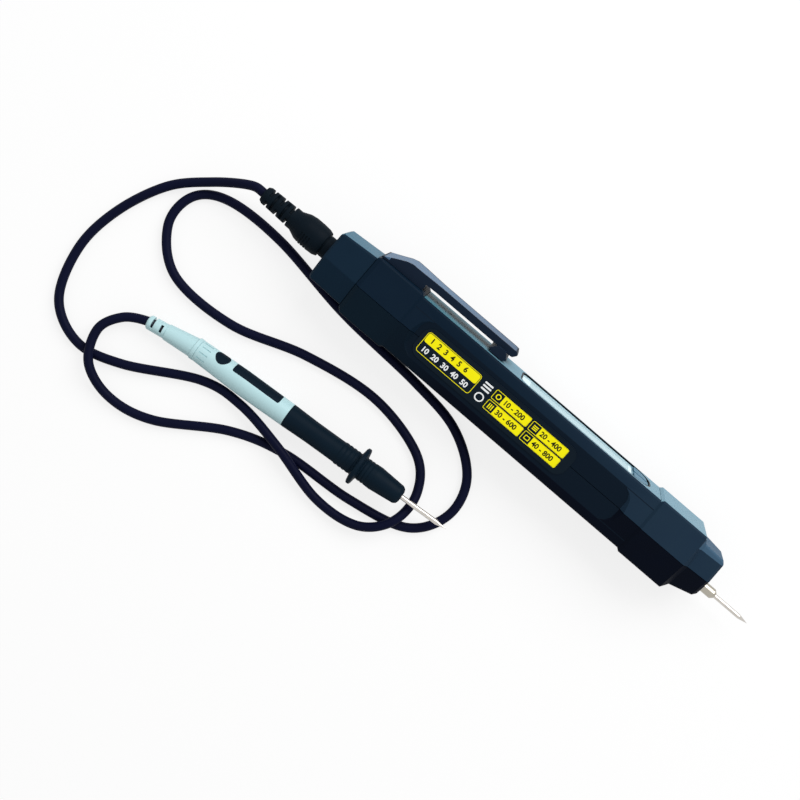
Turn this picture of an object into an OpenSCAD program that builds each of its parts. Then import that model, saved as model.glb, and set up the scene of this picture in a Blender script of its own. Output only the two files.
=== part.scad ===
// Pen multimeter with a plugged-in test lead.
// The pen lies on one flat of its six-sided body, with its face turned to the side.
// The lead runs from the rear socket in loose loops to a hand-held test probe.

/* [Body] */
// Length of the rear cap
rear_cap_length = 16; // [13:0.5:22]
// Length of the raised collar that carries the pocket clip
collar_length = 21.8; // [20:0.1:30]
// Length of the plain barrel between the collar and the nose
barrel_length = 114.2; // [95:0.1:150]
// Length of the raised nose block
nose_length = 21.2; // [16:0.1:30]
// Length of the tapered tip
cone_length = 12.7; // [10:0.1:20]
// Ridge plane to the face
face_depth = 12.3; // [12:0.1:14]
// Ridge plane to the back
back_depth = 11.9; // [11.6:0.1:14]
// Half of the width across the two side ridges
ridge_half = 13.1; // [12.6:0.1:15]
// Slope of the four side flats
flat_angle = 14; // [10:0.5:16]
// Height of the collar and the nose block over the barrel
band_raise = 0.8; // [0.4:0.1:1.5]
// Thickness of the moulded walls
wall = 1.8; // [1.4:0.1:2.2]
// Radius of the moulded edges
edge_radius = 1.1; // [0.6:0.1:1.6]
// Open line between two mouldings
seam = 0.2; // [0.1:0.05:0.4]

/* [Tip] */
// Face side of the tip where it leaves the nose block
tip_face_depth = 10.4; // [9:0.1:12]
// Back side of the tip where it leaves the nose block
tip_back_depth = 10.1; // [9:0.1:11.5]
// Ridge half width of the tip where it leaves the nose block
tip_ridge_half = 11; // [10:0.1:12.5]
// Face side of the tip at its end
tip_end_face = 9.6; // [8.5:0.1:10]
// Back side of the tip at its end
tip_end_back = 7.9; // [7:0.1:9]
// Ridge half width of the tip at its end
tip_end_ridge = 9; // [8:0.1:11]
// Bevel round the end of the tip
tip_bevel = 1.2; // [0.8:0.1:2]

/* [Rear cap] */
// Face side of the cap at its rear end
cap_rear_face = 10.8; // [10:0.1:11.8]
// Back side of the cap at its rear end
cap_rear_back = 10.3; // [9:0.1:11]
// Ridge half width of the cap at its rear end
cap_rear_ridge = 11.9; // [11:0.1:13]
// How much smaller the cap is than the barrel at the seam
cap_draft = 0.5; // [0.2:0.1:1]
// The same on the back side
cap_back_draft = 1.4; // [0.5:0.1:1.6]
// Depth of the cap's spigot inside the two halves
spigot_length = 4; // [2:0.5:6]

/* [Face] */
// Thickness of the grey face trim
trim_thickness = 1.2; // [0.9:0.1:1.4]
// Distance from the display recess to the nose block
recess_gap = 5; // [3:0.1:12]
// Half of the width of the display recess
recess_half = 8.9; // [8.4:0.1:9.2]
// Depth of the display recess
recess_depth = 0.6; // [0.3:0.1:0.8]
// Length of the display window
window_length = 53.2; // [48:0.1:54]
// Half of the width of the display window
window_half = 7.9; // [7:0.1:8.1]
// Thickness of the display window
window_thickness = 1.1; // [0.8:0.1:1.2]
// Length of a key
key_length = 6.2; // [5:0.1:6.6]
// Width of a key
key_width = 6.9; // [5:0.1:7.2]
// Distance from the keys to the front end of the display recess
key_margin = 1.7; // [1:0.1:4]
// Travel of a key
key_travel = 0.4; // [0.2:0.05:0.5]
// Height of a key over the recess floor
key_raise = 0.5; // [0.4:0.05:0.8]
// Diameter of a sound hole
sound_hole_d = 1.2; // [0.8:0.1:1.6]

/* [Side panel] */
// Distance from the collar to the side panel
panel_start = 6; // [4:0.1:10]
// Distance from the side panel to the nose block
panel_gap = 9.4; // [4:0.1:16]
// Depth of the side panel below the ridge
panel_depth = 2; // [1.4:0.05:2.2]
// Length of the label on the side panel
label_length = 72.6; // [60:0.1:80]
// Half of the height of the label
label_half = 6.3; // [5:0.1:6.6]
// Thickness of the label
label_thickness = 0.25; // [0.15:0.05:0.4]

/* [Pocket clip] */
// Length of the clip over the face
clip_length = 61.5; // [50:0.5:64]
// Half of the width of the clip bar
clip_half = 5.6; // [4.5:0.1:6.4]
// Half of the width of the clip root
clip_root_half = 7.6; // [6.5:0.1:9]
// Thickness of the clip bar
clip_thickness = 2.75; // [2.2:0.05:3.2]
// Room between the face and the clip bar
clip_room = 3.35; // [2.6:0.05:5]
// Diameter of the clip's hinge bar
clip_pivot_d = 1.8; // [1.4:0.1:2]
// Length of the foot under the clip bar
foot_length = 7.8; // [5:0.1:8.6]
// Half of the width of the foot
foot_half = 8; // [5:0.1:8.6]

/* [Battery bay] */
// Diameter of a cell
cell_d = 10.5; // [10:0.1:10.6]
// Length of a cell with its button
cell_length = 44.5; // [44:0.1:45]
// Length of the battery door
door_length = 55; // [50:0.5:56]
// Half of the width of the battery door
door_half = 6.6; // [6:0.1:7.4]
// Thickness of the battery door
door_thickness = 1.7; // [1.4:0.1:2]

/* [Tip needle] */
// Diameter of the pen's needle
needle_d = 1.8; // [1.5:0.1:2.2]
// Length of the needle outside its ferrule
needle_length = 16.1; // [12:0.1:22]
// Length of the sharpened end
needle_point = 4; // [2:0.1:6]
// Diameter of the ferrule
ferrule_d = 4.2; // [3.4:0.1:5]
// Length of the ferrule outside the tip
ferrule_length = 7; // [4:0.1:9]
// Needle axis below the ridge plane, towards the back
needle_drop = 3.8; // [3:0.1:4.2]
// Diameter of the torch lamp
lamp_d = 3; // [2.6:0.1:3.2]
// Lamp axis above the ridge plane, towards the face
lamp_rise = 4.2; // [3.8:0.1:4.6]

/* [Lead socket and plug] */
// Plug axis above the ridge plane, towards the face
socket_rise = 1; // [0:0.1:1.5]
// Diameter of the plug's contact pin
pin_d = 3.96; // [3.9:0.02:4]
// Radial play of the pin in its socket
pin_play = 0.07; // [0.03:0.01:0.1]
// Outer diameter of the socket tube
socket_d = 6; // [5.4:0.1:6.4]
// Outer diameter of the plug's shroud
shroud_d = 9; // [8.6:0.1:9.2]
// Wall of the plug's shroud
shroud_wall = 0.9; // [0.7:0.1:1]
// Depth of the shroud in the pen
shroud_depth = 19.5; // [15:0.5:20]
// Part of the shroud left outside the pen
collar_gap = 3.6; // [1:0.1:6]
// Largest diameter of the plug body
plug_d = 12; // [10.5:0.1:13]
// Length of the plug body
plug_length = 16.1; // [12:0.1:20]
// Diameter of the plug's boot
boot_d = 7.6; // [6.4:0.1:8.4]
// Length of the plug's boot
boot_length = 13.2; // [10:0.1:16]

/* [Lead] */
// Diameter of the lead
lead_d = 3.7; // [3:0.1:4]

/* [Test probe] */
// Length of the slotted boot
probe_boot_length = 8.2; // [6:0.1:12]
// Diameter of the slotted boot
probe_boot_d = 6; // [5.4:0.1:6.4]
// Length of the tapered tail with its ring
probe_tail_length = 14.1; // [10:0.1:20]
// Diameter of the ring between the tail and the handle
probe_ring_d = 9.1; // [8.8:0.1:9.4]
// Length of the grey handle
probe_handle_length = 42.3; // [38:0.1:50]
// Largest diameter of the grey handle
probe_handle_d = 10; // [9.2:0.1:10.4]
// Length of the black front grip
probe_front_length = 53; // [48:0.1:60]
// Diameter of the finger guard
guard_d = 15.8; // [13:0.1:18]
// Distance from the grey handle to the finger guard
guard_distance = 31.7; // [28:0.1:34]
// Thickness of the finger guard
guard_thickness = 2.8; // [2:0.1:3.6]
// Diameter of the probe's needle
probe_needle_d = 2; // [1.6:0.1:2.4]
// Length of the needle outside the grip
probe_needle_length = 20.8; // [15:0.1:26]
// Sideways bend of the soft tail
tail_bend = 6; // [0:0.5:10]
// Turn of the inlays round the handle, from straight up
inlay_turn = 50; // [0:1:90]

/* [Hidden] */

$fn = 48;
// Overrun of every cut
eps = 0.5;
// Gap between two pieces that seat on each other
seat = 0.1;
// Gap round a piece that slides or swings
play = 0.3;
// Points on one rounded corner of a section
corner_steps = 4;

// Where the pen and the probe lie
pen_x = -85.7;
pen_y = 24.3;
probe_x = -122.8;
probe_y = -37.9;
probe_yaw = 4.9;

// Stations along the pen
x_cap = rear_cap_length;
x_collar = x_cap + collar_length;
x_nose = x_collar + barrel_length;
x_cone = x_nose + nose_length;
x_end = x_cone + cone_length;
flat_slope = tan(flat_angle);
rest_height = ridge_half * cos(flat_angle) + band_raise;

// Room in every direction for a cutting block
far = 300;

// Small sizes of the body
band_step = 1.1;
collar_bevel = 0.5;
collar_chamfer = 1.6;
shoulder = 2.3;
cap_bevel = 0.9;
ferrule_flange = 0.8;
flange_thickness = 1;
root_step = 0.3;

// Face stations
trim_floor = face_depth - trim_thickness;
trim_rim = 0.5;
trim_half = ridge_half - face_depth * flat_slope - trim_rim;
nose_face = face_depth + band_raise;
nose_trim_half = ridge_half + band_raise / cos(flat_angle) - nose_face * flat_slope - trim_rim;
cap_trim_half = cap_rear_ridge - cap_rear_face * flat_slope - trim_rim;
recess_floor = face_depth - recess_depth;
recess_end = x_nose - recess_gap;
recess_corner = 3.5;
recess_round = 7;
bezel_width = 0.6;
window_margin = 1;
key_gap = 0.9;
key_x = recess_end - key_margin - key_length;
window_end = key_x - key_gap;
window_x = window_end - window_length;
recess_x = window_x - window_margin;
window_corner = 1.5;
window_top = recess_floor - seat / 2;
window_ledge = window_top - window_thickness;
view_margin = 2.2;
key_corner = 1;
key_side = 0.6;
key_round = 4.6;
key_top = recess_floor + key_raise;
key_flange = 0.7;
key_flange_thickness = 0.8;
inner_face = trim_floor - wall;
inner_side = wall / cos(flat_angle);
sound_pitch = 3.2;
sound_inset = 4.9;
sound_x = x_collar + sound_inset;

// Circuit board and what stands on it
board_top = 4.4;
board_thickness = 1.2;
board_half = 9;
board_inset = 3;
board_reach = 7;
board_start = x_collar + board_inset;
board_end = x_nose + board_reach;
post_r = 1.7;
post_side = 7;
post_rear_inset = 14;
post_front_inset = 0.5;
post_rear_x = board_start + post_rear_inset;
post_front_x = x_nose - post_front_inset;
lcd_half = 8;
lcd_overlap = 1.4;
lcd_frame_wall = 1.2;
lcd_glass = 2.2;
switch_size = 4.4;
switch_height = 1;
plunger_d = 2;
buzzer_d = 10.5;
buzzer_height = 3.6;

// Screws that hold the two halves together
screw_side = 8.2;
screw_rear_inset = 16;
screw_front_inset = 9;
screw_rear_x = x_cap + screw_rear_inset;
screw_front_x = x_nose + screw_front_inset;
screw_r = 1.1;
screw_head_r = 2;
screw_head = 1.5;
screw_sink = 3;
screw_length = 13;
screw_room = 1;
screw_hole = screw_length + screw_sink - back_depth + screw_room;
boss_r = 2.6;

// Battery bay
cell_r = cell_d / 2;
cell_lift = 0.4;
cell_y = -back_depth + wall + cell_lift + cell_r;
cell_button_r = 1.9;
cell_button = 1.2;
cell_gap = 0.4;
door_gap = 4.2;
door_overhang = 8;
spring_room = 4.6;
door_end = x_nose - door_gap;
door_x = door_end - door_length;
cells_end = door_end - door_overhang;
cells_x = cells_end - 2 * cell_length - cell_gap;
bay_start = cells_x - spring_room;
contact_thickness = 0.4;
contact_half = 4.2;
rib_thickness = 1.6;
rib_play = 0.25;
door_ledge = 1;
door_plate = 0.9;
hook_length = 1.4;
hook_half = 1.4;
hook_side = 4.2;
grip_pitch = 1.6;
grip_width = 0.7;
grip_depth = 0.4;
grip_count = 5;

// Side panel
panel_level = ridge_half - panel_depth;
panel_length = barrel_length - panel_start - panel_gap;
panel_wall = 1.2;
panel_half = panel_depth / flat_slope;
panel_x = x_collar + panel_start;
panel_corner = 5;
panel_slope = 2.4;
label_inset = 2.2;
label_x = panel_x + label_inset;
label_corner = 4;

// Pocket clip
clip_inset = 0.5;
clip_x = x_cap + clip_inset;
pivot_r = clip_pivot_d / 2;
pivot_play = 0.06;
collar_face = nose_face;
clip_low = face_depth + clip_room;
clip_top = clip_low + clip_thickness;
clip_end = clip_x + clip_length;
pivot_inset = 2.5;
pivot_cover = 0.3;
pivot_x = clip_x + pivot_inset;
pivot_y = collar_face - pivot_r - pivot_cover;
pivot_slot = 1.5;
wedge_inset = 2.2;
wedge_end = x_collar - wedge_inset;
ramp_length = 10.8;
ramp_end = clip_x + ramp_length;
ramp_mid = clip_x + ramp_length * 0.78;
ramp_mid_share = 0.88;
heel_length = 3;
heel_rise = 0.9;
clip_flare = 9.4;
flare_length = 5;
clip_end_round = 3;
inlay_margin = 0.9;
inlay_depth = 0.6;
foot_inset = 9.9;
foot_x = clip_end - foot_inset;
foot_neck_share = 0.46;
foot_sole_share = 0.7;
foot_belly_share = 0.36;

// Socket and plug
pin_r = pin_d / 2;
socket_r = socket_d / 2;
shroud_r = shroud_d / 2;
well_r = shroud_r + play;
well_room = 1;
well_wall = 1.5;
well_depth = shroud_depth + well_room;
well_tube_r = well_r + well_wall;
well_floor = 1.6;
socket_front = 4;
socket_tail = 2.5;
pin_front = 17;
pin_root = 3;
plug_r = plug_d / 2;
plug_neck_r = 4.2;
boot_r = boot_d / 2;
slot_count = 5;
slot_width = 1.1;
slot_core_r = 2.6;
slot_web = 2.2;
ridge_count = 4;
ridge_pitch = 1.2;
ridge_width = 0.5;
ridge_depth = 0.35;

// Probe
lead_r = lead_d / 2;
ring_r = probe_ring_d / 2;
ring_length = 1.7;
ring_bevel = 0.2;
tail_groove = 0.4;
guard_r = guard_d / 2;
x_tail = probe_boot_length;
x_handle = x_tail + probe_tail_length;
x_front = x_handle + probe_handle_length;
x_tip = x_front + probe_front_length;
x_guard = x_front + guard_distance;
x_ring = x_handle - ring_length / 2;
probe_pitch = asin((guard_r - ring_r) / (x_guard + guard_thickness / 2 - x_ring));
probe_height = ring_r * cos(probe_pitch) - x_ring * sin(probe_pitch) + seat / 2;
handle_r = probe_handle_d / 2;
rib_section = 5.6;
rib_margin = 1.2;
rib_half = 0.2;
rib_depth = 0.3;
inlay_thickness = 0.7;
dot_r = 3.1;
dot_inset = 9.9;
bar_inset = 15.6;
dot_x = x_handle + dot_inset;
bar_x = x_handle + bar_inset;
bar_length = 21.6;
bar_half = 2.5;
bar_corner = 0.8;
core_r = 2.4;
core_play = 0.1;
grip_r = 4.8;
grip_waist_r = 4.5;
grip_rib_r = 4.75;
grip_rib_pitch = 1.8;
grip_rib_width = 0.9;
grip_rib_edge = 0.4;
grip_front_pitch = 1.5;
guard_bevel = 0.8;
grip_end_r = 3.9;
probe_needle_r = probe_needle_d / 2;
probe_point = 4.5;

// Route of the lead's centre line, from the plug's boot to the probe's boot
lead_route = [
  [-125, 24.2, 13], [-138, 16, 6.6], [-151, 3.5, 2.6], [-159.5, -16, 2], [-161.5, -36, 2],
  [-154.5, -56, 2], [-138.5, -64, 2], [-120, -59.3, 2], [-93, -44.3, 2.4], [-75, -41.4, 3.9],
  [-54, -44.2, 6.2], [-30, -50, 3.4], [-11.5, -47.5, 4.6], [-2, -37, 6], [-2, -23, 2.6],
  [-12.5, -11.7, 2], [-38, -6.3, 2], [-68.5, -11, 2], [-98, -20.6, 2],
  [-126, -20.5, 2], [-141, -7.5, 2], [-141, 7, 2], [-129, 15, 2], [-104, 16, 2],
  [-68, 10.7, 2], [-30, 8.5, 2], [-7, 4.7, 2], [9, -6.5, 2], [12.8, -22, 2],
  [3.5, -36, 2], [-20.5, -42.1, 2], [-50, -44.8, 2], [-72, -52, 2], [-97, -67.9, 2],
  [-115, -72, 2.5], [-129, -67, 5.4], [-135, -55, 5.2], [-131, -45.4, 4]];
lead_sides = 8;

// A vector of length one
function unit(v) = v / norm(v);

// Points of the arc that rounds corner b between a and c
function corner_arc(a, b, c, r) =
  let (
    u = unit(a - b),
    w = unit(c - b),
    half = acos(u * w) / 2,
    centre = b + unit(u + w) * r / sin(half),
    first = b + u * r / tan(half),
    last = b + w * r / tan(half)
  )
  [for (i = [0:corner_steps])
    centre + r * unit(first + (last - first) * i / corner_steps - centre)];

// An outline with each corner rounded by its own radius
function rounded(points, radii) =
  let (n = len(points))
  [for (i = [0:n - 1])
    each corner_arc(points[(i + n - 1) % n], points[i], points[(i + 1) % n], radii[i])];

// Corners of a rectangle
function box_outline(x0, y0, x1, y1) = [[x0, y0], [x1, y0], [x1, y1], [x0, y1]];

// The six-sided section: face on +Y, ridges on +Z and -Z
function section(face, back, ridge, r) =
  let (face_half = ridge - face * flat_slope, back_half = ridge - back * flat_slope)
  rounded([[face, face_half], [0, ridge], [-back, back_half], [-back, -back_half], [0, -ridge],
    [face, -face_half]], [r, r, r, r, r, r]);

// The barrel's section moved outwards by g
function grown(g) =
  section(face_depth + g, back_depth + g, ridge_half + g / cos(flat_angle), edge_radius);

// An outline set across the pen at x
function ring_at(x, outline) = [for (p = outline) [x, p.x, p.y]];

// An outline set parallel to the ridge plane at height z
function layer_at(z, outline) = [for (p = outline) [p.x, p.y, z]];

// A closed skin over a row of rings
module loft(rings) {
  n = len(rings[0]);
  m = len(rings);
  sides = [for (i = [0:m - 2]) for (j = [0:n - 1])
    let (a = i * n + j, b = i * n + (j + 1) % n) each [[a, a + n, b + n], [a, b + n, b]]];
  ends = [[for (j = [0:n - 1]) j], [for (j = [n - 1:-1:0]) (m - 1) * n + j]];
  polyhedron([for (ring = rings) each ring], concat(sides, ends));
}

// Children drawn along the pen and across it, cut out between two depths
module face_prism(low, high) {
  translate([0, high, 0]) rotate([90, 0, 0]) linear_extrude(high - low) children();
}

// A side profile of the pen carried across its width
module side_prism(half, points) {
  linear_extrude(2 * half, center = true) polygon(points);
}

// A round piece along +X from a list of [x, radius]
module revolve(profile) {
  rotate([0, 90, 0]) rotate_extrude() polygon([for (p = profile) [p[1], p[0]]]);
}

// A cylinder along +X
module rod(x0, x1, r) {
  translate([x0, 0, 0]) rotate([0, 90, 0]) cylinder(h = x1 - x0, r = r);
}

// A cylinder towards the face
module post(low, high, r) {
  translate([0, high, 0]) rotate([90, 0, 0]) cylinder(h = high - low, r = r);
}

// A block between two corners
module block(low, high) {
  translate(low) cube(high - low);
}

// The pen's own frame laid on its flat
module lay_pen() {
  translate([pen_x, pen_y, rest_height]) rotate([flat_angle, 0, 0]) children();
}

// The plug's frame, on the socket's axis
module lay_plug() {
  lay_pen() translate([0, socket_rise, 0]) children();
}

// The probe's frame, from its rear end to its needle
module lay_probe() {
  translate([probe_x, probe_y, probe_height]) rotate([0, -probe_pitch, probe_yaw]) children();
}

// The frame of the soft tail, bent at the ring
module lay_tail() {
  lay_probe() translate([x_ring, 0, 0]) rotate([0, 0, tail_bend]) translate([-x_ring, 0, 0]) children();
}

// A direction of the probe's frame in the object's frame
function probe_turned(v) =
  let (x = v.x * cos(probe_pitch) - v.z * sin(probe_pitch))
  [x * cos(probe_yaw) - v.y * sin(probe_yaw), x * sin(probe_yaw) + v.y * cos(probe_yaw),
    v.x * sin(probe_pitch) + v.z * cos(probe_pitch)];

// Outer skin of the two halves
module outer_skin() {
  loft([
    ring_at(x_cap, section(collar_face - collar_bevel, back_depth + band_raise - collar_chamfer,
      ridge_half + band_raise - collar_chamfer / 2, edge_radius)),
    ring_at(x_cap + collar_chamfer, grown(band_raise)),
    ring_at(x_collar - band_step, grown(band_raise)),
    ring_at(x_collar, grown(0)),
    ring_at(x_nose, grown(0)),
    ring_at(x_nose + band_step, grown(band_raise)),
    ring_at(x_cone, grown(band_raise)),
    ring_at(x_cone + shoulder, section(tip_face_depth, tip_back_depth, tip_ridge_half, edge_radius)),
    ring_at(x_end - tip_bevel, section(tip_end_face, tip_end_back, tip_end_ridge, edge_radius)),
    ring_at(x_end, section(tip_end_face - tip_bevel, tip_end_back - tip_bevel,
      tip_end_ridge - tip_bevel, edge_radius))]);
}

// Hollow of the two halves
module inner_skin() {
  loft([
    ring_at(x_cap - eps, section(inner_face, back_depth - wall, ridge_half - inner_side, edge_radius)),
    ring_at(x_cone - wall, section(inner_face, back_depth - wall, ridge_half - inner_side, edge_radius)),
    ring_at(x_cone + shoulder, section(tip_face_depth - 2 * wall, tip_back_depth - 2 * wall,
      tip_ridge_half - 2 * wall, edge_radius))]);
}

// Hollow with a wall left behind each side panel
module hollow() {
  difference() {
    inner_skin();
    for (side = [0, 1])
      mirror([0, 0, side]) block([panel_x - panel_slope, -far, panel_level - panel_wall],
        [panel_x + panel_length + panel_slope, far, far]);
  }
}

// The flat pocket across a side ridge
module panel_cut() {
  low = rounded(box_outline(panel_x, -panel_half, panel_x + panel_length, panel_half),
    [panel_corner, panel_corner, panel_corner, panel_corner]);
  high = rounded(box_outline(panel_x - panel_slope, -panel_half - panel_slope,
    panel_x + panel_length + panel_slope, panel_half + panel_slope),
    [panel_corner, panel_corner, panel_corner, panel_corner]);
  loft([layer_at(panel_level, low), layer_at(panel_level + panel_slope, high)]);
}

// Outline of the display recess, grown by g
function recess_outline(g) =
  rounded(box_outline(recess_x - g, -recess_half - g, recess_end + g, recess_half + g),
    [recess_corner + g, recess_round + g, recess_round + g, recess_corner + g]);

// Outline of the display window, grown by g
function window_outline(g) =
  rounded(box_outline(window_x - g, -window_half - g, window_end + g, window_half + g),
    [window_corner, window_corner, window_corner, window_corner]);

// Outline of the key on the +Z side, grown by g, and by h where it faces the other key
function key_outline(g, h) =
  rounded(box_outline(key_x - g, key_side - h, key_x + key_length + g, key_side + key_width + g),
    [key_corner, key_corner, key_round, key_corner]);

// Holes over the buzzer
module sound_holes(low, high) {
  for (i = [0:2])
    translate([sound_x + i * sound_pitch, 0, 0]) post(low, high, sound_hole_d / 2);
}

// Places of the four housing screws
module at_screws() {
  for (x = [screw_rear_x, screw_front_x], side = [-1, 1])
    translate([x, 0, side * screw_side]) children();
}

module front_housing() {
  color("#101c28") lay_pen() difference() {
    union() {
      difference() {
        intersection() {
          outer_skin();
          block([-far, seam / 2, -far], [far, far, far]);
        }
        hollow();
        block([x_collar, trim_floor, -trim_half], [x_nose, far, trim_half]);
        block([x_nose - seam, nose_face - trim_thickness, -nose_trim_half], [far, far, nose_trim_half]);
        panel_cut();
        mirror([0, 0, 1]) panel_cut();
      }
      at_screws() post(seam / 2, inner_face + eps, boss_r);
      for (x = [post_rear_x, post_front_x], side = [-1, 1])
        translate([x, 0, side * post_side]) post(board_top + seat, inner_face + eps, post_r);
    }
    face_prism(window_ledge, far) polygon(window_outline(seat));
    face_prism(-eps, far) polygon(window_outline(-view_margin));
    for (side = [0, 1])
      mirror([0, 0, side]) face_prism(-eps, far) polygon(key_outline(play, play));
    sound_holes(0, far);
    at_screws() post(-eps, screw_hole, screw_r + seat / 2);
    translate([pivot_x, pivot_y, 0])
      cylinder(h = 2 * (clip_half + play), r = pivot_r + pivot_play, center = true);
    block([pivot_x - pivot_slot / 2, pivot_y, -clip_half - play],
      [pivot_x + pivot_slot / 2, far, clip_half + play]);
    translate([0, lamp_rise, 0]) rod(x_cone, far, lamp_d / 2 + seat);
  }
}

module back_housing() {
  color("#0d1620") lay_pen() difference() {
    intersection() {
      outer_skin();
      block([-far, -far, -far], [far, -seam / 2, far]);
    }
    difference() {
      hollow();
      for (x = [bay_start, cells_end + 2 * seat + contact_thickness])
        block([x, -far, -far], [x + rib_thickness, cell_y + cell_r * cos(45), far]);
      for (x = [cells_x + cell_length / 4, cells_x + cell_length * 3 / 4])
        block([x, -far, -far], [x + rib_thickness, cell_y, far]);
      at_screws() post(-far, far, boss_r);
    }
    translate([0, cell_y, 0]) rod(cells_x - seat, cells_end + seat, cell_r + rib_play);
    panel_cut();
    mirror([0, 0, 1]) panel_cut();
    at_screws() post(-far, -back_depth + screw_sink, screw_head_r + seat);
    at_screws() post(-far, far, screw_r + seat);
    block([door_x - seat, -far, -door_half - seat],
      [door_end + seat, -back_depth + door_plate + seat, door_half + seat]);
    block([door_x + door_ledge, -far, -door_half + door_ledge],
      [door_end - door_ledge, -back_depth + wall + eps, door_half - door_ledge]);
    for (side = [-1, 1])
      block([door_x - hook_length - play, -back_depth + door_plate - seat,
        side * hook_side - hook_half - play], [door_x + 2 * door_ledge,
        -back_depth + wall + eps, side * hook_side + hook_half + play]);
    translate([0, -needle_drop, 0]) rod(x_cone, far, ferrule_d / 2 + seat / 2);
  }
}

// Outer form of the rear cap
module cap_skin() {
  seam_face = face_depth - cap_draft;
  seam_back = back_depth - cap_back_draft;
  seam_ridge = ridge_half - cap_draft;
  loft([
    ring_at(0, section(cap_rear_face - cap_bevel, cap_rear_back - cap_bevel,
      cap_rear_ridge - cap_bevel, edge_radius)),
    ring_at(cap_bevel, section(cap_rear_face, cap_rear_back, cap_rear_ridge, edge_radius)),
    ring_at(x_cap - seam, section(seam_face, seam_back, seam_ridge, edge_radius))]);
}

// Side profile above which the cap's trim lies
function cap_trim_profile() = [
  [-eps, cap_rear_face - trim_thickness], [x_cap + eps, face_depth - cap_draft - trim_thickness],
  [x_cap + eps, 2 * face_depth], [-eps, 2 * face_depth]];

module rear_cap() {
  color("#101c28") lay_pen() difference() {
    union() {
      difference() {
        cap_skin();
        side_prism(cap_trim_half, cap_trim_profile());
      }
      loft([for (x = [x_cap - seam - eps, x_cap + spigot_length])
        ring_at(x, section(inner_face - seat, back_depth - wall - seat,
          ridge_half - inner_side - seat, edge_radius))]);
      translate([0, socket_rise, 0]) rod(x_cap, well_depth + well_floor, well_tube_r);
    }
    translate([0, socket_rise, 0]) rod(-eps, well_depth, well_r);
    translate([0, socket_rise, 0]) rod(0, far, socket_r + seat / 2);
  }
}

module rear_cap_trim() {
  color("#789aa5") lay_pen() intersection() {
    cap_skin();
    translate([0, seat, 0]) side_prism(cap_trim_half - seat / 2, cap_trim_profile());
  }
}

module face_trim() {
  color("#789aa5") lay_pen() difference() {
    intersection() {
      outer_skin();
      block([x_collar + seam, trim_floor + seat / 2, seat / 2 - trim_half],
        [x_nose - seam, far, trim_half - seat / 2]);
    }
    face_prism(recess_floor, far) polygon(recess_outline(0));
    face_prism(0, far) polygon(window_outline(seat));
    for (side = [0, 1])
      mirror([0, 0, side]) face_prism(0, far) polygon(key_outline(play, play));
    sound_holes(0, far);
  }
}

module nose_trim() {
  color("#8cb2c4") lay_pen() intersection() {
    outer_skin();
    block([x_nose, nose_face - trim_thickness + seat / 2, seat / 2 - nose_trim_half],
      [far, far, nose_trim_half - seat / 2]);
  }
}

module display_bezel() {
  color("#0c1218") lay_pen() face_prism(recess_floor + seat / 2, face_depth) difference() {
    polygon(recess_outline(-seat / 2));
    polygon(recess_outline(-bezel_width));
  }
}

module display_window() {
  color("#bedee8") lay_pen()
    face_prism(window_ledge + seat / 2, window_top) polygon(window_outline(0));
}

module lcd_module() {
  low = window_x + lcd_overlap;
  high = window_end - lcd_overlap;
  color("#9fb0a0") lay_pen() difference() {
    block([low, board_top + seat, -lcd_half], [high, inner_face - seat, lcd_half]);
    block([low + lcd_frame_wall, 0, -lcd_half + lcd_frame_wall],
      [high - lcd_frame_wall, inner_face - seat - lcd_glass, lcd_half - lcd_frame_wall]);
  }
}

module circuit_board() {
  color("#1d5b3a") lay_pen() difference() {
    block([board_start, board_top - board_thickness, -board_half], [board_end, board_top, board_half]);
    at_screws() post(-far, far, boss_r + play);
  }
}

// A key cap with its flange under the wall and its stem over the switch
module key_body() {
  face_prism(inner_face - seat - key_flange_thickness, key_top) polygon(key_outline(0, 0));
  face_prism(inner_face - seat - key_flange_thickness, inner_face - seat)
    polygon(key_outline(key_flange, 0));
  translate([key_x + key_length / 2, 0, key_side + key_width / 2])
    post(board_top + switch_height + key_travel + seat, inner_face - seat, plunger_d / 2);
}

module function_key() {
  color("#9fbcc4") lay_pen() key_body();
}

module hold_key() {
  color("#9fbcc4") lay_pen() mirror([0, 0, 1]) key_body();
}

module key_switches() {
  color("#b9bec2") lay_pen() for (side = [-1, 1])
    translate([key_x + key_length / 2, 0, side * (key_side + key_width / 2)]) {
      block([-switch_size / 2, board_top, -switch_size / 2],
        [switch_size / 2, board_top + switch_height / 2, switch_size / 2]);
      post(board_top, board_top + switch_height, plunger_d / 2);
    }
}

module buzzer() {
  color("#202326") lay_pen() translate([sound_x + sound_pitch, 0, 0]) difference() {
    post(board_top + seat, board_top + buzzer_height, buzzer_d / 2);
    post(board_top + buzzer_height / 2, far, plunger_d / 2);
  }
}

module torch_lamp() {
  r = lamp_d / 2;
  color("#e8f0f4") lay_pen() translate([0, lamp_rise, 0]) revolve(concat(
    [[x_cone + shoulder + 2 * seat, 0], [x_cone + shoulder + 2 * seat, r]],
    [for (angle = [0:15:90]) [x_end - r / 2 + r * sin(angle), r * cos(angle)]]));
}

module side_label() {
  outline = rounded(box_outline(label_x, -label_half, label_x + label_length, label_half),
    [label_corner, label_corner, label_corner, label_corner]);
  color("#0c1218") lay_pen() translate([0, 0, panel_level]) linear_extrude(label_thickness)
    polygon(outline);
}

// Side profile of the clip: ramp, bar and its rounded end
function clip_profile() = [
  [clip_x, collar_face + play], [pivot_x, collar_face + seat],
  [wedge_end, collar_face + seat], [wedge_end, clip_low],
  [clip_end - clip_thickness / 2, clip_low], [clip_end, clip_low + clip_thickness / 2],
  [clip_end - clip_thickness / 3, clip_top], [ramp_end, clip_top],
  [ramp_mid, collar_face + (clip_top - collar_face) * ramp_mid_share],
  [clip_x, collar_face + 2 * play]];

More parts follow.
